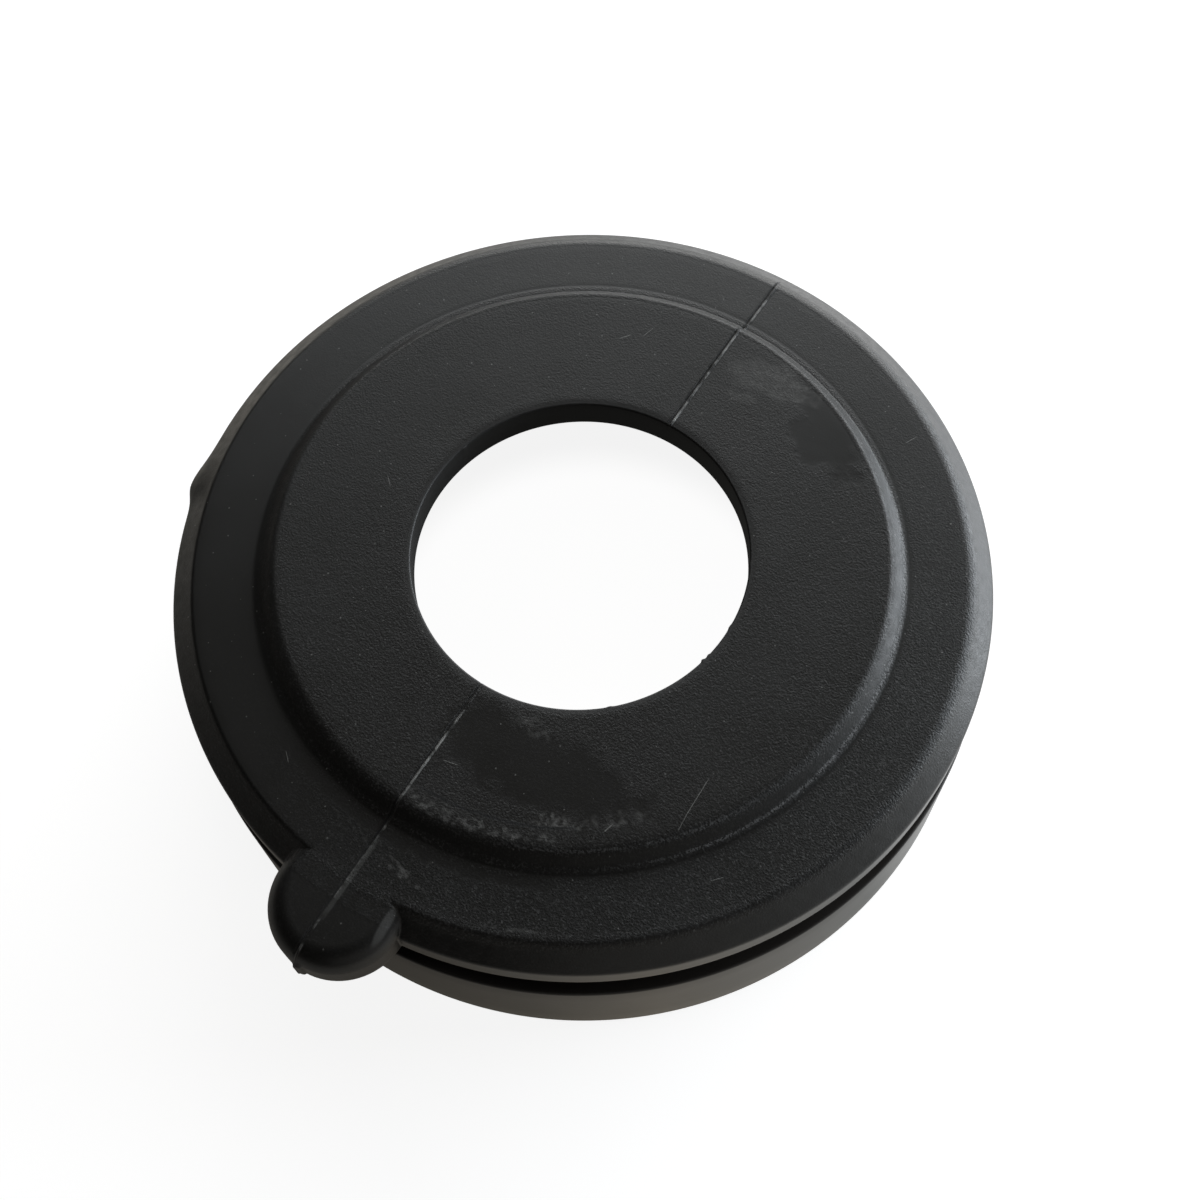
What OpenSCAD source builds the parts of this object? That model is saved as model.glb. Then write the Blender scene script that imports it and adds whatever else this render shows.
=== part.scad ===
// Rubber grommet, moulded in one piece: a bevelled flange with a raised ring and a bore,
// a panel groove under it, a hollow skirt, and a pull tab on the mould's parting line.
// The origin is on the bore's axis in the plane of the flange's flat face, the tab
// points along -Y, and the skirt stands on its lower edge.

/* [Flange] */
// Diameter over the flange's rim
flange_d = 80; // [76:0.5:92]
// Thickness of the flange, from its flat face to the groove
flange_t = 5.2; // [4:0.1:8]
// Width of the bevel round the rim
bevel_w = 2.35; // [1:0.05:3]
// Height of the bevel round the rim
bevel_h = 2.2; // [1:0.1:3.5]

/* [Raised ring] */
// Diameter of the raised ring at its foot
ring_d = 62.5; // [50:0.5:68]
// Height of the ring above the flat face
ring_h = 1.4; // [0.5:0.1:3]
// Width of the ring's sloped edge
ring_slope_w = 1.5; // [0.5:0.1:3]

/* [Bore] */
// Diameter of the hole that grips the pipe
bore_d = 32.6; // [16:0.2:42]
// Thickness of the top wall under the plane of the flat face
wall_t = 2; // [1.2:0.1:3.5]

/* [Panel groove] */
// Diameter of the groove's floor, which sits in the panel's hole
seat_d = 73; // [70:0.5:74.5]
// Width of the groove
groove_w = 4.4; // [2:0.1:8]
// Radius of the groove's inside corners
groove_root_r = 0.6; // [0.2:0.1:0.9]

/* [Skirt] */
// Diameter outside the skirt
skirt_d = 80.4; // [76:0.2:90]
// Height of the skirt under the groove
skirt_h = 12.4; // [6:0.2:24]
// Thickness of the skirt's wall at its lower edge
skirt_w = 6.7; // [4:0.1:9]
// Thickness of the collar between the groove's floor and the top of the hollow
collar_w = 4; // [2.5:0.1:6]
// Radius of the corner under the top wall
hollow_root_r = 2; // [0.5:0.1:3]
// Radius on the skirt's lower outer edge
skirt_edge_r = 0.8; // [0.3:0.1:1.5]

/* [Pull tab] */
// Width of the tab, which is also the diameter of its round end
tab_w = 12.8; // [8:0.2:16]
// How far the tab stands out past the rim
tab_out = 6.2; // [5:0.1:9]
// Thickness of the tab
tab_t = 5; // [3.6:0.1:5.2]
// Radius along the tab's upper edge
tab_edge_r = 2.3; // [0.8:0.1:3]
// Diameter of the stub that the mould leaves on the tab's tip
stub_d = 1; // [0.6:0.1:2]
// How far the stub stands out past the tip
stub_out = 0.4; // [0.2:0.1:0.6]

/* [Locating nib] */
// Radius of the nib's curve, seen from above
nib_r = 5; // [3:0.2:8]
// How far the nib stands out past the rim
nib_out = 0.7; // [0.3:0.1:1.5]
// Angle from the tab to the nib, clockwise from above
nib_turn = 71; // [30:1:330]

/* [Parting ridge] */
// Width of the ridge where the mould's halves met
ridge_w = 0.4; // [0.2:0.1:1]
// Height of the ridge
ridge_h = 0.12; // [0.05:0.01:0.3]
// Width of the flatter stretch by the tab's root
ridge_flat_w = 0.9; // [0.5:0.1:2]
// Length of that flatter stretch
ridge_flat_l = 7.5; // [3:0.5:9]

/* [Hidden] */
$fn = 96;

bore_r = bore_d / 2;
ring_foot_r = ring_d / 2;
ring_top_r = ring_foot_r - ring_slope_w;
flange_r = flange_d / 2;
flat_r = flange_r - bevel_w;
seat_r = seat_d / 2;
skirt_r = skirt_d / 2;
// The hollow is wider at its mouth than at its top, so that it draws off the core
hollow_d = seat_d - 2 * collar_w;
mouth_d = skirt_d - 2 * skirt_w;
hollow_r = hollow_d / 2;
mouth_r = mouth_d / 2;
tab_r = tab_w / 2;
// The tab's round end is struck from a centre that puts its tip at the stated reach
tab_centre_r = flange_r + tab_out - tab_r;
tab_tip_r = flange_r + tab_out;
groove_top_z = -flange_t;
groove_low_z = groove_top_z - groove_w;
base_z = groove_low_z - skirt_h;
// Overlap that lets one form run into another
bite = 0.5;

// Outline of the wall on one side of the axis, with sharp corners
module wall_outline() {
    polygon([
        [bore_r, ring_h],
        [ring_top_r, ring_h],
        [ring_foot_r, 0],
        [flat_r, 0],
        [flange_r, -bevel_h],
        [flange_r, groove_top_z],
        [seat_r, groove_top_z],
        [seat_r, groove_low_z],
        [skirt_r, groove_low_z],
        [skirt_r, base_z],
        [mouth_r, base_z],
        [hollow_r, -wall_t],
        [bore_r, -wall_t]
    ]);
}

// What is left of a square corner when a circle of radius r is taken out of it.
// The corner is at the origin and the square runs towards +X and +Y.
module corner_web(r) {
    difference() {
        square(r);
        translate([r, r]) circle(r = r);
    }
}

// Half section of the whole grommet, with its corners eased
module half_section() {
    difference() {
        union() {
            wall_outline();
            translate([seat_r, groove_top_z]) mirror([0, 1]) corner_web(groove_root_r);
            translate([seat_r, groove_low_z]) corner_web(groove_root_r);
            translate([hollow_r, -wall_t]) mirror([1, 0]) mirror([0, 1])
                corner_web(hollow_root_r);
        }
        translate([skirt_r, base_z]) mirror([1, 0]) corner_web(skirt_edge_r);
    }
}

// Round body of the grommet
module round_body() {
    rotate_extrude() half_section();
}

// Straight part of the tab, from inside the wall out to the round end
module tab_neck() {
    neck_in = seat_r - collar_w / 2;
    neck_l = tab_centre_r - neck_in;
    translate([-tab_r, -tab_centre_r, -tab_t]) cube([tab_w, neck_l, tab_t - tab_edge_r]);
    translate([tab_edge_r - tab_r, -tab_centre_r, -tab_t])
        cube([tab_w - 2 * tab_edge_r, neck_l, tab_t]);
    for (side = [-1, 1])
        translate([side * (tab_r - tab_edge_r), -tab_centre_r, -tab_edge_r])
            rotate([-90, 0, 0]) cylinder(r = tab_edge_r, h = neck_l);
}

// Round end of the tab, with the same eased edge
module tab_end() {
    translate([0, -tab_centre_r, 0]) rotate_extrude() {
        translate([0, -tab_t]) square([tab_r, tab_t - tab_edge_r]);
        translate([0, -tab_t]) square([tab_r - tab_edge_r, tab_t]);
        translate([tab_r - tab_edge_r, -tab_edge_r])
            intersection() {
                circle(r = tab_edge_r);
                square(tab_edge_r);
            }
    }
}

// Stub on the tip, where the rubber ran out between the mould's halves
module tab_stub() {
    stub_h = tab_t - tab_edge_r;
    translate([0, stub_d / 2 - tab_tip_r - stub_out, -tab_t]) {
        cylinder(d = stub_d, h = stub_h);
        translate([-stub_d / 2, 0, 0]) cube([stub_d, stub_out + bite, stub_h]);
    }
}

// Half-round nib on the rim. Its top follows the bevel, moved out by the nib's reach.
module nib() {
    nib_low_z = groove_top_z + bite;
    rotate(-90 - nib_turn) intersection() {
        rotate_extrude() polygon([
            [flat_r - bite / 2, 0],
            [flat_r + nib_out, 0],
            [flange_r + nib_out, -bevel_h],
            [flange_r + nib_out, nib_low_z],
            [flat_r - bite / 2, nib_low_z]
        ]);
        translate([flange_r + nib_out - nib_r, 0, nib_low_z])
            cylinder(r = nib_r, h = flange_t);
    }
}

// Fine ridge over the top, from the far side of the flat through the ring to the tip
module parting_ridge() {
    intersection() {
        rotate_extrude() polygon([
            [bore_r, ring_h - bite],
            [bore_r, ring_h + ridge_h],
            [ring_top_r, ring_h + ridge_h],
            [ring_foot_r + ridge_h, ridge_h],
            [flat_r, ridge_h],
            [flat_r, -bite],
            [ring_top_r, -bite]
        ]);
        translate([-ridge_w / 2, -flange_r, -bite])
            cube([ridge_w, flange_d, ring_h + ridge_h + 2 * bite]);
    }
    translate([-ridge_w / 2, -tab_tip_r + tab_edge_r, -bite])
        cube([ridge_w, tab_tip_r - tab_edge_r - flat_r + bite, bite + ridge_h]);
    translate([-ridge_flat_w / 2, -flat_r - ridge_flat_l / 2, -bite])
        cube([ridge_flat_w, ridge_flat_l, bite + ridge_h]);
}

// The whole grommet, one moulding in black rubber
module grommet_body() {
    color([0.1, 0.1, 0.1]) {
        union() {
            round_body();
            tab_neck();
            tab_end();
            tab_stub();
            nib();
            parting_ridge();
        }
    }
}

grommet_body();
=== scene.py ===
import math
import bpy
import numpy as np
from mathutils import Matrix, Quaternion, Vector


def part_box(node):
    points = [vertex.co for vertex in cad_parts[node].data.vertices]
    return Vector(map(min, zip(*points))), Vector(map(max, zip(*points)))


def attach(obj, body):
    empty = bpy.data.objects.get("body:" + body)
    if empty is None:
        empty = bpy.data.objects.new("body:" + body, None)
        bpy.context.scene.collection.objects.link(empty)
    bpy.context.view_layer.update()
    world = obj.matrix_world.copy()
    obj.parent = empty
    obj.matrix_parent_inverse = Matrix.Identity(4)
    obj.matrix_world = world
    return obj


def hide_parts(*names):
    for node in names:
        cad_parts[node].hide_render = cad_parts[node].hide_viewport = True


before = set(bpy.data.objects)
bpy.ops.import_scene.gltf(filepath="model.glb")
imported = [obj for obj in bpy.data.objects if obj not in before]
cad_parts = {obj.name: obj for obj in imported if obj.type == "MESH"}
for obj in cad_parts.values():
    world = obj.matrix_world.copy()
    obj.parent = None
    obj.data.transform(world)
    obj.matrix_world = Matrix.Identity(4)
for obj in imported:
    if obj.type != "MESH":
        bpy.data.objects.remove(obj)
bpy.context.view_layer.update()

# Camera. The photograph looks down on the grommet from close by, with the tab at the
# lower left. The aim point is on the flange's flat face, a little off the bore's axis.
MM = 0.001
aim = Vector((4.115, -2.830, 0)) * MM
camera_distance = 162.36 * MM
camera_heading = math.radians(-53.787)
camera_height = math.radians(64.985)
camera_roll = math.radians(-3.539)


def towards(heading, height):
    """Unit vector from the grommet at a heading round it and a height above the bench."""
    return Vector((
        math.cos(height) * math.cos(heading),
        math.cos(height) * math.sin(heading),
        math.sin(height),
    ))


camera_data = bpy.data.cameras.new("camera")
camera_data.sensor_width = 36
camera_data.lens = 51
camera_data.clip_start = 0.005
camera = bpy.data.objects.new("camera", camera_data)
bpy.context.scene.collection.objects.link(camera)
back = towards(camera_heading, camera_height)
camera.location = aim + camera_distance * back
camera.rotation_mode = "QUATERNION"
camera.rotation_quaternion = (
    (-back).to_track_quat("-Z", "Y") @ Quaternion((0, 0, 1), camera_roll)
)
bpy.context.scene.camera = camera
bpy.context.scene.view_settings.view_transform = "Standard"


# Lamps. Cool daylight from a low wide window behind the grommet and to its right, which
# glints on the far bevel and ring, and a weak warm light from the room on the near side.
def lamp(name, heading, height, distance, size, power, colour):
    """A soft light of that width and height that looks at the grommet from a heading."""
    data = bpy.data.lights.new(name, "AREA")
    data.shape = "RECTANGLE"
    data.size, data.size_y = size
    data.energy = power
    data.color = colour
    made = bpy.data.objects.new(name, data)
    away = towards(math.radians(heading), math.radians(height))
    made.location = away * distance
    made.rotation_mode = "QUATERNION"
    made.rotation_quaternion = (-away).to_track_quat("-Z", "Y")
    made.visible_camera = False
    bpy.context.scene.collection.objects.link(made)


lamp("window_right", 56, 12, 0.75, (0.6, 0.3), 7, (0.93, 1, 1.06))
lamp("window_back", 108, 13, 0.75, (0.75, 0.3), 3.6, (1, 1, 0.98))
lamp("window_high", 120, 36, 0.9, (0.9, 0.45), 2.6, (0.96, 1, 1.02))
lamp("room_near", -36, 30, 0.9, (1, 0.5), 0.42, (1, 0.97, 0.92))
lamp("room_above", 118, 76, 0.9, (1, 0.8), 0.34, (1, 0.95, 0.87))


# Floor and surroundings. A plain white sheet lies under the skirt. The camera sees it and the room
# beyond as white.
# The grommet sees the room dim and the sheet as it is lit, with a painted glow of light and shade
# added on the sheet.
class Field:
    """A shader socket that takes part in sums: each operator adds a Math node."""

    def __init__(self, paint, socket):
        self.paint = paint
        self.socket = socket

    def beside(self, name):
        """Another output of the same node."""
        return Field(self.paint, self.socket.node.outputs[name])

    def math(self, operation, *others):
        return self.paint.node("ShaderNodeMath", {"operation": operation}, self, *others)

    def __add__(self, other):
        return self.math("ADD", other)

    __radd__ = __add__

    def __mul__(self, other):
        return self.math("MULTIPLY", other)

    __rmul__ = __mul__

    def __sub__(self, other):
        return self.math("SUBTRACT", other)

    def __rsub__(self, other):
        return self.math("MULTIPLY_ADD", -1, other)

    def __truediv__(self, other):
        return self.math("DIVIDE", other)

    def __pow__(self, other):
        return self.math("POWER", other)

    def __abs__(self):
        return self.math("ABSOLUTE")

    def most(self, other):
        return self.math("MAXIMUM", other)

    def least(self, other):
        return self.math("MINIMUM", other)

    def rise(self, low, high):
        """0 at low and 1 at high, smooth between and level outside; high may be less."""
        settings = {"interpolation_type": "SMOOTHSTEP"}
        inputs = {"Value": self, "From Min": low, "From Max": high}
        return self.paint.node("ShaderNodeMapRange", settings, **inputs)

    def within(self, low, high, soft):
        """1 between low and high, and 0 beyond them, turning over a width of soft."""
        half = soft / 2
        return self.rise(low - half, low + half) * self.rise(high + half, high - half)


class Paint:
    """The tree of a material or a world. Its node method adds any node and returns one output."""

    def __init__(self, owner):
        owner.use_nodes = True
        self.tree = owner.node_tree
        self.tree.nodes.clear()

    def node(self, kind, settings=None, *values, out=0, **named):
        made = self.tree.nodes.new(kind)
        for name, value in (settings or {}).items():
            if name == "stops":
                self.set_stops(made.color_ramp, value)
            else:
                setattr(made, name, value)
        sockets = [socket for socket in made.inputs if socket.enabled]
        for socket, value in zip(sockets, values):
            self.feed(socket, value)
        for name, value in named.items():
            self.feed(next(socket for socket in sockets if socket.name == name), value)
        outputs = [socket for socket in made.outputs if socket.enabled]
        if isinstance(out, str):
            return Field(self, next(socket for socket in outputs if socket.name == out))
        return Field(self, outputs[out])

    def set_stops(self, ramp, stops):
        while len(ramp.elements) < len(stops):
            ramp.elements.new(1)
        for element, (place, colour) in zip(ramp.elements, stops):
            element.position = place
            element.color = (*colour, 1)

    def feed(self, socket, value):
        if isinstance(value, Field):
            self.tree.links.new(value.socket, socket)
        elif socket.type == "RGBA":
            socket.default_value = (*value, 1)
        else:
            socket.default_value = value

    def mix(self, share, first, second):
        inputs = {"Factor": share, "A": first, "B": second}
        return self.node("ShaderNodeMix", {"data_type": "RGBA"}, **inputs)

    def finish(self, shader, output="ShaderNodeOutputMaterial"):
        self.tree.links.new(shader.socket, self.tree.nodes.new(output).inputs["Surface"])


def facing(heading, paint, place):
    """1 on the side of the grommet at a heading in degrees, and -1 on the side away from it."""
    x = paint.node("ShaderNodeSeparateXYZ", None, place, out="X")
    y = paint.node("ShaderNodeSeparateXYZ", None, place, out="Y")
    angle = math.radians(heading)
    return (x * math.cos(angle) + y * math.sin(angle)) / (x * x + y * y) ** 0.5


def mirrored(paint):
    """1 for a ray that was reflected or let through by a surface, and 0 for any other."""
    return paint.node("ShaderNodeLightPath", out="Is Glossy Ray").most(
        paint.node("ShaderNodeLightPath", out="Is Transmission Ray"))


window_heading = 55
left_heading = 190
body_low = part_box("grommet_body")[0]
floor_half = 1.2
hole_reach = 0.034
floor_corners = [(-1, -1), (1, -1), (1, 1), (-1, 1)]
floor_mesh = bpy.data.meshes.new("floor")
floor_mesh.from_pydata(
    [(x * floor_half, y * floor_half, body_low.z) for x, y in floor_corners], [], [(0, 1, 2, 3)])
floor = bpy.data.objects.new("floor", floor_mesh)
bpy.context.scene.collection.objects.link(floor)
floor_white = bpy.data.materials.new("floor_white")
sheet = Paint(floor_white)
sheet_place = sheet.node("ShaderNodeTexCoord", out="Object")
sheet_reach = sheet.node(
    "ShaderNodeVectorMath", {"operation": "LENGTH"}, sheet_place, out="Value")
# Painted light on the sheet: in reflected and let-through rays it glows, bright towards the
# window, dark away from it, a little lighter again at the left, and dark under the hollow as a
# painted shadow. The camera sees it as white.
sheet_side = facing(window_heading, sheet, sheet_place) * 0.5 + 0.5
sheet_side = sheet_side + 0.13 * facing(left_heading, sheet, sheet_place).rise(0.75, 0.95)
sheet_painted_light = sheet.node("ShaderNodeValToRGB", {"stops": [
    (0.1, (0.09, 0.082, 0.07)), (0.25, (0.17, 0.155, 0.13)), (0.4, (0.32, 0.287, 0.235)),
    (0.7, (0.36, 0.36, 0.345)), (0.92, (1, 1, 1))]}, sheet_side)
sheet_painted_light = sheet.mix(sheet_reach.rise(hole_reach, 0.044), (0.08, 0.08, 0.075), sheet_painted_light)
sheet_matte = sheet.node("ShaderNodeBsdfDiffuse", None, (0.38, 0.38, 0.38))
# Painted glow: the camera's white is raised under the hollow to hide the sheet's shade there.
sheet_white_and_hole_glow = 0.88 + 0.09 * sheet_reach.rise(hole_reach, 0.03)
sheet_glow = sheet.node("ShaderNodeEmission", None, (1, 1, 1), sheet_white_and_hole_glow)
# Painted light: the sheet's tone glows in reflected rays, on top of its real lighting.
painted_glow_strength = 1.4
sheet_painted_glow = sheet.node("ShaderNodeEmission", None, sheet_painted_light, painted_glow_strength)
sheet_seen = sheet.node("ShaderNodeAddShader", None, sheet_matte, sheet_glow)
sheet_mirrored = sheet.node("ShaderNodeAddShader", None, sheet_matte, sheet_painted_glow)
sheet_lit = sheet.node(
    "ShaderNodeMixShader", None, mirrored(sheet), sheet_matte, sheet_mirrored)
sheet_viewed = sheet.node("ShaderNodeLightPath", out="Is Camera Ray")
sheet.finish(sheet.node("ShaderNodeMixShader", None, sheet_viewed, sheet_lit, sheet_seen))
floor_mesh.materials.append(floor_white)

world = bpy.data.worlds.new("room")
bpy.context.scene.world = world
room = Paint(world)
sight = room.node("ShaderNodeTexCoord", out="Generated")
horizon = room.node("ShaderNodeSeparateXYZ", None, sight, out="Z").rise(0.2, 0.02)
room_side = facing(window_heading, room, sight).rise(-0.9, 0.7)
room_pale = mirrored(room) * horizon * room_side * 0.6
room_viewed = room.node("ShaderNodeLightPath", out="Is Camera Ray")
room_tone = room.mix(room_viewed.most(room_pale), (0.035, 0.033, 0.03), (1, 1, 1))
room.finish(room.node("ShaderNodeBackground", None, room_tone), "ShaderNodeOutputWorld")

# Grommet body. One piece of black rubber, pressed in a two-part mould and pulled off its
# core: bevelled flange, raised ring, thin top wall with the bore, panel groove, hollow
# skirt, pull tab with a stub on its tip, nib on the rim, and the mould's parting ridge.
skirt_r = -body_low.x / MM
skirt_low = body_low.z / MM
rim_r = 40.0
bevel_width = 2.35
bevel_depth = 2.2
flange_low = -5.2
ring_height = 1.4
ring_top_r = 29.75
ring_foot_r = 31.25
bore_r = 16.3
wall_under = -2.0
seat_r = 36.5
groove_low = -9.6
mouth_r = 33.5
hollow_r = 32.5
tab_r = 6.4
tab_centre = 39.8
tab_round = 2.3
lower_round = 0.35
stub_place = 0.15
stub_half = 0.5
stub_reach = 0.28
nib_heading = 199
nib_reach = 0.7
ridge_half = 0.15
ridge_height = 0.12
ridge_zone = 0.6
groove_depth = 0.07
bore_flash = [
    (-12, 0.7, 0.16), (-9.5, 0.5, 0.1), (3, 1.1, 0.08), (27, 0.8, 0.07), (-47, 0.9, 0.08),
    (168, 0.8, 0.06)]
flange_droop = 0.3


def eased(points, radii, steps=6):
    """The polyline with each inner corner turned into an arc of steps + 1 points."""
    result = [points[0]]
    for before, corner, after, radius in zip(points, points[1:], points[2:], radii):
        corner = Vector(corner)
        first = (Vector(before) - corner).normalized()
        second = (Vector(after) - corner).normalized()
        half = first.angle(second) / 2
        centre = corner + (first + second).normalized() * radius / math.sin(half)
        start = corner + first * radius / math.tan(half) - centre
        end = corner + second * radius / math.tan(half) - centre
        turn = math.pi - 2 * half
        for i in range(steps + 1):
            start_share = math.sin((1 - i / steps) * turn) / math.sin(turn)
            end_share = math.sin(i / steps * turn) / math.sin(turn)
            result.append(tuple(centre + start * start_share + end * end_share))
    result.append(points[-1])
    return np.array(result)


def filled(first, second, longest):
    """Both polylines with the same spans cut up, so that no step in either is too long."""
    result = [(first[0], second[0])]
    for i in range(len(first) - 1):
        spans = [first[i + 1] - first[i], second[i + 1] - second[i]]
        count = max(1, math.ceil(max(np.hypot(*span) for span in spans) / longest))
        for j in range(1, count + 1):
            result.append((first[i] + spans[0] * j / count, second[i] + spans[1] * j / count))
    return [np.array(line) for line in zip(*result)]


def graded(start, end, coarse, spots):
    """Places from start to end, closer together round each spot (place, fine step, half width)."""
    places = [start]
    while places[-1] < end:
        step = coarse
        for spot, fine, half in spots:
            step = min(step, fine + 0.3 * max(0, abs(places[-1] - spot) - half))
        places.append(places[-1] + step)
    places = np.array(places)
    return start + (places - start) * (end - start) / (places[-1] - start)


def step_up(value, low, high):
    """0 at low and 1 at high, smooth between."""
    share = np.clip((value - low) / (high - low), 0, 1)
    return share * share * (3 - 2 * share)


# Every row goes once round the body: round the rim from the notch at the tab's one side
# to the notch at its other side, and then round the tab, with fine steps at the ridge.
notch = math.asin(tab_r / rim_r)
notch_degrees = math.degrees(notch)
rim_headings = graded(
    notch_degrees - 90, 270 - notch_degrees, 0.75,
    [(notch_degrees - 90, 0.2, 0), (-12, 0.3, 1), (90, 0.1, 0.9), (nib_heading, 0.4, 4),
     (270 - notch_degrees, 0.2, 0)])
from_tab = np.minimum(rim_headings + 90, 270 - rim_headings) - notch_degrees
notch_pull = step_up(from_tab, 14, 0) * np.sign(rim_headings - 90)
tab_half = tab_r * math.pi / 2 + tab_centre - math.sqrt(rim_r ** 2 - tab_r ** 2)
tab_places = graded(
    -tab_half, tab_half, 0.5,
    [(-tab_half, 0.15, 0), (0, 0.05, 0.35), (tab_half, 0.15, 0)])[1:-1]
tab_near = np.clip(tab_places, -ridge_zone, ridge_zone)
tab_share = (tab_places - tab_near) / (tab_half - ridge_zone)
heading = np.concatenate([rim_headings, -90 + np.degrees(tab_places / tab_half) * notch])


def off_heading(middle):
    """Signed angle in degrees from a heading to each column."""
    return (heading - middle + 180) % 360 - 180


nib_off = off_heading(nib_heading)
nib_swell = nib_reach * np.exp(-(nib_off / np.where(nib_off < 0, 4.2, 2.4)) ** 2)
soft_side = step_up(np.abs(off_heading(-75)), 115, 35)
far_side = step_up(np.abs(off_heading(110)), 85, 35)


def round_row(radius, height, opening):
    """A row on a circle, where the tab's columns lie inside the opening angle to each side."""
    reach = np.mean(radius)
    tab_turns = (tab_near + tab_share * (opening * reach - ridge_zone)) / reach - math.pi / 2
    rim_turns = np.radians(rim_headings) + notch_pull * (notch - opening)
    turns = np.concatenate([rim_turns, tab_turns])
    return np.column_stack([np.cos(turns) * radius, np.sin(turns) * radius, height + 0 * turns])


def tabbed_row(rim_inset, tab_inset, height):
    """A row on the rim's circle and the tab's outline, each inset by its own amount."""
    radius = rim_r - rim_inset
    width = tab_r - tab_inset
    notch_y = math.sqrt(radius ** 2 - width ** 2)
    rim_turns = np.radians(rim_headings) + notch_pull * (notch - math.asin(width / radius))
    swell = nib_swell[:len(rim_turns)] * (1 - step_up(rim_inset, 0, bevel_width))
    rim_part = np.column_stack([np.cos(rim_turns), np.sin(rim_turns)])
    rim_part = rim_part * (radius + swell)[:, None]
    quarter = width * math.pi / 2
    places = tab_near + tab_share * (quarter + tab_centre - notch_y - ridge_zone)
    turns = np.clip(places / width, -math.pi / 2, math.pi / 2)
    tab_x = np.sin(turns) * width
    bead = np.clip(1 - (tab_x / ridge_half) ** 2, 0, 1) * ridge_height
    stub = np.sqrt(np.clip(1 - ((tab_x - stub_place) / stub_half) ** 2, 0, 1)) * stub_reach
    standing = bead * (1 - tab_inset / tab_round) + stub * step_up(height, -1.6, -2.2)
    tab_y = np.maximum(np.abs(places) - quarter, 0) - tab_centre
    tab_y = tab_y - np.cos(turns) * width - standing
    row = np.concatenate([rim_part, np.column_stack([tab_x, tab_y])])
    return np.column_stack([row, np.full(len(row), height)])


# The rows follow the section: from the bore's lower edge over the ring and the flat, down
# the rim, in under the flange, round groove and skirt, and up inside the hollow.
ring_points = [
    (bore_r, wall_under + 0.2), (bore_r, ring_height), (ring_top_r, ring_height),
    (ring_foot_r, 0), (ring_foot_r + 2, 0)]
far_points = ring_points[:3] + [(ring_foot_r - 0.35, 0), ring_points[4]]
ring_step = 1.1
crisp_section = eased(ring_points, [0.2, 0.6, 0.7])
crisp_ring, soft_ring = filled(crisp_section, eased(ring_points, [0.2, 1.9, 2.2]), ring_step)
crisp_ring, far_ring = filled(crisp_section, eased(far_points, [0.2, 0.45, 0.25]), ring_step)
rim_points = [(4, 0), (bevel_width, 0), (0, -bevel_depth), (0, flange_low)]
crisp_rim = eased(rim_points, [0.6, 0.4])[1:]
soft_rim = eased(rim_points, [1.7, 0.4])[1:]
far_rim = step_up(np.abs(off_heading(75)), 115, 65)[:, None]
tab_edge = eased([(4, 0), (0, 0), (0, flange_low)], [tab_round], 16)[1:]
levels = -np.array([
    0, 0.01, 0.04, 0.1, 0.2, 0.35, 0.55, 0.8, 1.1, 1.45, 1.8, 2.02, 2.12, 2.2, 2.3, 2.6, 3.3, 4.1])
edge_rows = []
for level in levels:
    tab_inset = np.interp(-level, -tab_edge[:, 1], tab_edge[:, 0])
    crisp, soft = (
        tabbed_row(np.interp(-level, -rim[:, 1], rim[:, 0]), tab_inset, level)
        for rim in (crisp_rim, soft_rim))
    edge_rows.append(crisp + (soft - crisp) * far_rim)
edge_rows += [
    tabbed_row(inset, inset, flange_low + rise)
    for inset, rise in eased([(0, 0.8), (0, 0), (0.8, 0)], [lower_round], 4)[1:-1]]
opening = math.asin((tab_r - tab_round) / (rim_r - crisp_rim[0, 0]))

grid = []
for crisp, soft, far in zip(crisp_ring, soft_ring, far_ring):
    blend = crisp[:, None] + (soft - crisp)[:, None] * soft_side
    blend = blend + (far - crisp)[:, None] * far_side
    grid.append(round_row(blend[0], blend[1], opening))
flat_steps = 5
grid += [grid[-1] + (edge_rows[0] - grid[-1]) * i / flat_steps for i in range(1, flat_steps)]
marked_edge_rows = 8
top_count = len(grid) + marked_edge_rows
grid += edge_rows
under_points = [
    (seat_r + 1.4, flange_low), (seat_r, flange_low), (seat_r, groove_low),
    (skirt_r, groove_low), (skirt_r, skirt_low), (mouth_r, skirt_low),
    (hollow_r, wall_under), (bore_r, wall_under), (bore_r, wall_under + 0.2)]
under_rows = eased(under_points, [0.6, 0.6, 0.3, 0.8, 0.4, 2, 0.12])
under_step = 3
under_rows = filled(under_rows, under_rows, under_step)[0]
under_opening = notch * 0.88
grid += [round_row(radius, height, under_opening) for radius, height in under_rows[:-1]]
points = np.array(grid)

# The parting line: an uneven bead where the mould's halves met, with a fine groove beside
# it. It runs over the top along the plane X = 0 and is flatter and wider at the tab's root.
top = points[:top_count]
across_line, along_line = top[..., 0], top[..., 1]
reach = np.hypot(across_line, along_line)
near_side = along_line < 0
root = step_up(reach, 33.2, 34.6) * step_up(reach, 42.4, 41.2) * near_side
uneven = 0.5 + 0.28 * np.sin(4.3 * along_line)
uneven += 0.22 * np.sin(9.7 * along_line + 1) * np.sin(1.9 * along_line)
half_width = ridge_half + 0.22 * root
bead = np.clip(1 - (across_line / half_width) ** 2, 0, 1) * uneven * ridge_height
groove_half = 0.16
groove = np.clip(1 - ((across_line + half_width + 0.1) / groove_half) ** 2, 0, 1)
groove = groove * groove_depth * (1 - 0.6 * root)
flat_r = rim_r - bevel_width
ended = step_up(reach, flat_r + 0.3, flat_r - 0.5) + near_side
top[..., 2] += (bead - groove) * np.clip(ended, 0, 1)
points[:top_count] = top

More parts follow.
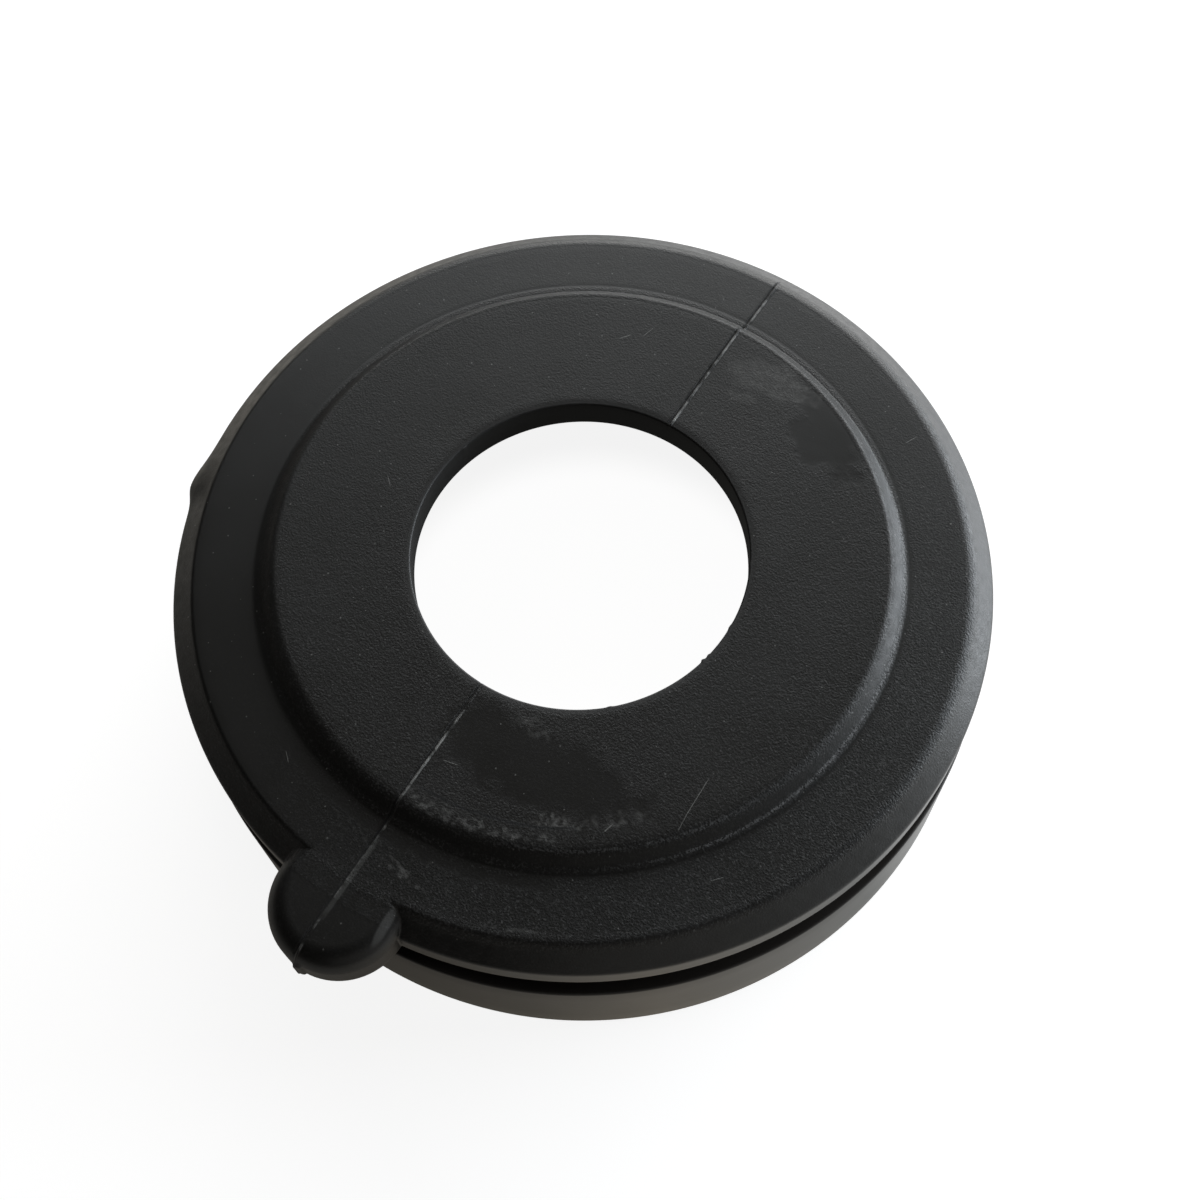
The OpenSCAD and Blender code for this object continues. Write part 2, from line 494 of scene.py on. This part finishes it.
# Bits of torn flash stand in from the bore's upper edge, most of them at the right. Each
# has a heading, a half width in degrees and a depth.
bore_reach = np.hypot(points[..., 0], points[..., 1])
at_bore = step_up(bore_reach, bore_r + 0.5, bore_r + 0.1) * step_up(points[..., 2], 0.6, 1.2)
flash = sum(
    depth * np.exp(-(off_heading(middle) / width) ** 2) for middle, width, depth in bore_flash)
points[..., :2] *= (1 - at_bore * flash / bore_r)[..., None]

# The soft flange droops a little towards its rim, and the tab with it. Nothing below the
# flange moves.
reach = np.hypot(points[..., 0], points[..., 1])
sunk = flange_droop * np.clip((reach - ring_foot_r) / (rim_r - ring_foot_r), 0, 1.5)
points[..., 2] -= sunk * np.clip(1 - points[..., 2] / flange_low, 0, 1)

row_count, column_count = points.shape[:2]
index = np.arange(row_count * column_count).reshape(row_count, column_count)
below = np.roll(index, -1, 0)
beside = np.roll(index, -1, 1)
corner = np.roll(below, -1, 1)
quads = np.stack([index, below, corner, beside], -1).reshape(-1, 4)
body_mesh = bpy.data.meshes.new("grommet_rubber")
body_mesh.from_pydata((points.reshape(-1, 3) * MM).tolist(), [], quads.tolist())
body_mesh.shade_smooth()
body = bpy.data.objects.new("grommet_rubber", body_mesh)
bpy.context.scene.collection.objects.link(body)

black_rubber = bpy.data.materials.new("black_rubber")
rubber = Paint(black_rubber)
mm_per_metre = 1000
place = rubber.node("ShaderNodeTexCoord", out="Object")
x = rubber.node("ShaderNodeSeparateXYZ", None, place, out="X") * mm_per_metre
y = rubber.node("ShaderNodeSeparateXYZ", None, place, out="Y") * mm_per_metre
z = rubber.node("ShaderNodeSeparateXYZ", None, place, out="Z") * mm_per_metre
radius = (x * x + y * y) ** 0.5
turn = y.math("ARCTAN2", x) * math.degrees(1)


def towards_side(heading):
    """Millimetres from the bore's axis towards a heading in degrees."""
    angle = math.radians(heading)
    return x * math.cos(angle) + y * math.sin(angle)


def mottle(size, detail):
    """Cloudy noise from 0 to 1 whose blotches are about that many millimetres across."""
    return rubber.node(
        "ShaderNodeTexNoise", None, Vector=place, Scale=mm_per_metre / size, Detail=detail)


fray = mottle(1.8, 3.0)


def patch(centre_x, centre_y, long, wide, turned, ragged=0.5):
    """1 inside an oval with a ragged edge, half sizes in millimetres, turned by degrees."""
    cos, sin = math.cos(math.radians(turned)), math.sin(math.radians(turned))
    along = ((x - centre_x) * cos + (y - centre_y) * sin) / long
    wide_way = ((y - centre_y) * cos - (x - centre_x) * sin) / wide
    edge = (along * along + wide_way * wide_way) ** 0.5 + (fray - 0.5) * ragged * 2
    return edge.rise(1.1, 0.6)


def scratch(start, end, width):
    """1 along a straight mark between two points, fading towards its edges and ends."""
    length = math.dist(start, end)
    cos, sin = (end[0] - start[0]) / length, (end[1] - start[1]) / length
    along = (x - start[0]) * cos + (y - start[1]) * sin
    aside = abs((y - start[1]) * cos - (x - start[0]) * sin)
    return aside.rise(width / 2, width / 6) * along.within(0, length, min(0.6, length / 3))


def band(middle, half, first, last):
    """1 along an arc about the bore's axis, given its radius, half width and headings."""
    wobble = (fray - 0.5) * half * 2
    return abs(radius + wobble - middle).rise(half, half / 4) * turn.within(first, last, 4)


# The mould's sand-blasted grain covers the flats and frays the edges at the right. Two
# rubbed patches on the ring and a strip along its near foot are nearly smooth.
on_top = z.rise(-1.2, -0.7)
ring_flat = radius.within(bore_r + 0.4, ring_top_r - 0.3, 0.8) * z.rise(0.9, 1.2)
flange_flat = radius.within(ring_foot_r + 0.5, flat_r - 0.3, 0.8) * on_top
tab_flat = radius.rise(flat_r - 0.5, flat_r) * on_top * y.rise(-34, -36)
rubbed_far = patch(13.2, 24.6, 7.5, 2.7, -44).most(patch(12.5, 22.5, 3.6, 2.2, -50))
rubbed_near = patch(9.5, -20.8, 10.5, 3.9, 12).most(patch(2.5, -20.5, 3.2, 3.6, 0))
smooth_step = band(32.6, 0.9, -132, -62)
smooth = rubbed_far.most(rubbed_near * 0.85).most(smooth_step * 0.7)
near_heading = -54
right_heading = 36
nearness = towards_side(near_heading).rise(-22, 20)
off_left = towards_side(right_heading).rise(-34, -14)
grained = ring_flat * (0.7 + 0.3 * nearness)
grained = grained + flange_flat * (0.1 + off_left) * (0.4 + 0.5 * nearness)
grained = (grained + tab_flat * 0.2) * (1 - 0.85 * smooth)
ring_slope = radius.within(ring_top_r - 0.1, ring_foot_r + 0.1, 0.5) * z.rise(-0.3, 0.1)
bevel = radius.within(flat_r, rim_r, 0.5) * z.rise(-bevel_depth - 0.8, -bevel_depth)
edges = abs(radius - ring_top_r).rise(0.6, 0.2) + abs(radius - ring_foot_r).rise(0.5, 0.1)
edges = (edges + abs(radius - flat_r).rise(0.9, 0.2)) * on_top * off_left
grained = grained + (ring_slope + bevel) * 0.4 + edges * 0.9
pits = mottle(0.19, 2.0)
coarse_pits = mottle(0.9, 2.0)
grain_height = (pits * 0.8 + coarse_pits * 0.2) * grained
film = mottle(7.0, 4.0)
grain_depth = 0.06 * MM
grain = rubber.node(
    "ShaderNodeBump", None, Strength=1.0, Distance=grain_depth,
    Height=grain_height + film * 0.6)

# Pale marks: a fan rubbed beside the parting line at the far side, scuffs on the near
# side, a painted highlight as a crescent on the tab, dust, and a few fibres of lint.
fan = (patch(7.6, 26.9, 3.6, 0.8, 4, 0.8) * 0.6).most(patch(4.2, 22.9, 2.2, 0.7, 14, 0.9) * 0.35)
fan = fan.most(patch(6.0, 26.1, 5.2, 2.3, 6, 0.7) * 0.5)
streaks = mottle(0.7, 4.0).rise(0.42, 0.72)
scuffs = (
    band(28.9, 0.9, -90, -60) * 0.9 + patch(12.9, -23.6, 2.6, 0.8, 24, 0.9) * 0.9
    + patch(17.8, -20.6, 2.8, 0.9, 34, 0.9) * 0.5 + patch(6.2, -17.3, 2.0, 0.9, -12, 0.8) * 0.45
    + patch(3.0, -34.6, 3.4, 0.5, -10, 0.8) + patch(15.2, -33.6, 3.4, 0.3, 26, 0.8) * 0.6)
dark_line = band(27.7, 0.22, -88, -58)
speck_spacing = 1.9
empty_share = 0.45
specks = rubber.node(
    "ShaderNodeTexVoronoi", {"voronoi_dimensions": "2D"}, Vector=place,
    Scale=mm_per_metre / speck_spacing)
speck_kind = rubber.node("ShaderNodeSeparateColor", None, specks.beside("Color"))
speck_size = speck_kind.rise(empty_share, 1.15) * 0.065
dust = (specks / (speck_size + 0.001)).rise(1.0, 0.5)
dust = dust * speck_kind.rise(empty_share, empty_share + 0.01)
dust = dust * z.rise(-1.8, -1.2)
lint_places = [
    ((22.45, -13.15), (22.54, -16.87), 0.1), ((22.54, -16.87), (22.69, -18.64), 0.08),
    ((17.2, -22.2), (17.45, -21.3), 0.16), ((1.3, -24.4), (2.6, -24.1), 0.1),
    ((-9.8, 22.4), (-9.1, 23.3), 0.1), ((-7.9, 24.0), (-7.6, 25.2), 0.08),
    ((27.3, -20.6), (28.1, -19.7), 0.1), ((-20.5, -3.2), (-19.6, -4.0), 0.08),
    ((-12.0, -31.2), (-11.2, -31.9), 0.1), ((20.4, 27.9), (20.9, 29.0), 0.09)]
lint = sum(scratch(*line) for line in lint_places)
# Painted highlight: a pale crescent on the tab's rounded right edge.
tab_crescent_highlight = patch(5.2, -39.5, 2.6, 0.45, 94, 0.15)
pale = (fan * (0.45 + 0.55 * streaks)).most(scuffs * streaks)
pale = pale.most(tab_crescent_highlight * 0.45).least(1) * on_top

# The colours are laid over each other: black rubber, pale marks with a painted highlight on the
# tab, frayed edges at the right, the grain's rubbed tips with painted glints, the parting line
# with painted shade in its fine groove, a paler bevel at the near right, a lighter brown in the
# panel groove, and dust on top.
black = rubber.mix(film.rise(0.3, 0.7), (0.0038, 0.0037, 0.0034), (0.0062, 0.0061, 0.0060))
grey = rubber.mix(pale, black, (0.1, 0.099, 0.096))
fine_pits = mottle(0.24, 2.0)
frayed_foot = abs(radius - ring_foot_r + 0.1 + (fray - 0.5) * 0.2).rise(0.18, 0.06)
frayed_foot = frayed_foot * turn.within(-45, 45, 20)
frayed_top = abs(radius - ring_top_r + (fray - 0.5) * 0.3).rise(0.2, 0.06)
frayed_top = frayed_top * turn.within(-70, -25, 15) * 0.6
flecks = (fine_pits * 1.5 + coarse_pits * 0.5 - 0.5).rise(0.4, 0.6)
grey = rubber.mix((frayed_foot + frayed_top) * on_top * flecks, grey, (0.11, 0.11, 0.112))
# Pale flecks on the grain's tips: rubbed wear together with painted glints, stronger towards the
# near side.
pale_grain_flecks_and_glints = fine_pits.rise(0.52, 0.7) * grained * (0.3 + 0.7 * nearness) * (1 - 0.3 * ring_flat)
grey = rubber.mix(pale_grain_flecks_and_glints, grey, (0.036, 0.036, 0.036))
beads = mottle(0.9, 3.0)
worn_line = abs(x).rise(0.17, 0.06) * z.rise(-1.6, -0.9) * (beads + film - 0.5).rise(0.4, 0.7)
worn_line = worn_line * (ring_flat + flange_flat + tab_flat * 0.8).least(1)
grey = rubber.mix(worn_line, grey, (0.24, 0.24, 0.235))
root_strip = on_top * abs(x - 0.15).rise(0.3, 0.1) * y.within(-41.5, -33.6, 2)
grey = rubber.mix(root_strip * (0.3 + beads), grey, (0.055, 0.055, 0.053))
# Painted shade: a dark line along the fine groove on the parting ridge's left, shaded side.
seam_groove_shade = abs(x + ridge_half + 0.1).rise(0.17, 0.07) * on_top
seam_groove_shade = seam_groove_shade * radius.rise(bore_r + 0.2, bore_r + 0.6) * (1.2 - beads)
dark = (dark_line * on_top).most(seam_groove_shade).least(1)
grey = rubber.mix(dark * 0.9, grey, (0.002, 0.002, 0.002))
# The bevel and the rim's face are coloured paler at the near right.
paler_near_right_bevel = radius.rise(flat_r, rim_r - 1.4) * z.rise(flange_low + 0.5, -3)
paler_near_right_bevel = paler_near_right_bevel * turn.within(-62, 14, 20) * (0.5 + 0.5 * film)
grey = rubber.mix(paler_near_right_bevel, grey, (0.035, 0.035, 0.034))
# A lighter brown colour in the panel groove under the flange.
under_flange = z.rise(flange_low + 0.3, flange_low - 0.2)
under_flange = under_flange * z.rise(groove_low - 0.3, groove_low + 0.4)
grey = rubber.mix(under_flange * 0.8, grey, (0.026, 0.019, 0.015))
grey = rubber.mix((dust * 0.6).most(lint * 0.85), grey, (0.16, 0.16, 0.155))

# The rubber is half matt. It is duller where it is grained or rubbed pale, under the tab's painted
# highlight, along the dark lines and the painted shade beside the parting ridge, in the bore and
# in the hollow, and blotchy on the ring's slope and the bevel.
plain_roughness = 0.37
in_hollow = z.rise(wall_under + 0.1, wall_under - 0.1) * radius.rise(34, 33)
in_bore = (radius.rise(bore_r + 0.5, bore_r + 0.1) + in_hollow).least(1)
roughness = plain_roughness - 0.07 * ring_flat * nearness + 0.05 * (film - 0.5)
roughness = roughness + 0.1 * pale + 0.09 * grained + 0.08 * ring_slope
roughness = roughness + 0.3 * (ring_slope + bevel) * (coarse_pits - 0.5)
roughness = roughness + 0.2 * in_bore + 0.5 * dark
shader = rubber.node(
    "ShaderNodeBsdfPrincipled", None,
    **{"Base Color": grey, "Roughness": roughness, "Normal": grain, "Specular IOR Level": 0.5})
rubber.finish(shader)
body_mesh.materials.append(black_rubber)
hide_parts("grommet_body")
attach(body, "root")
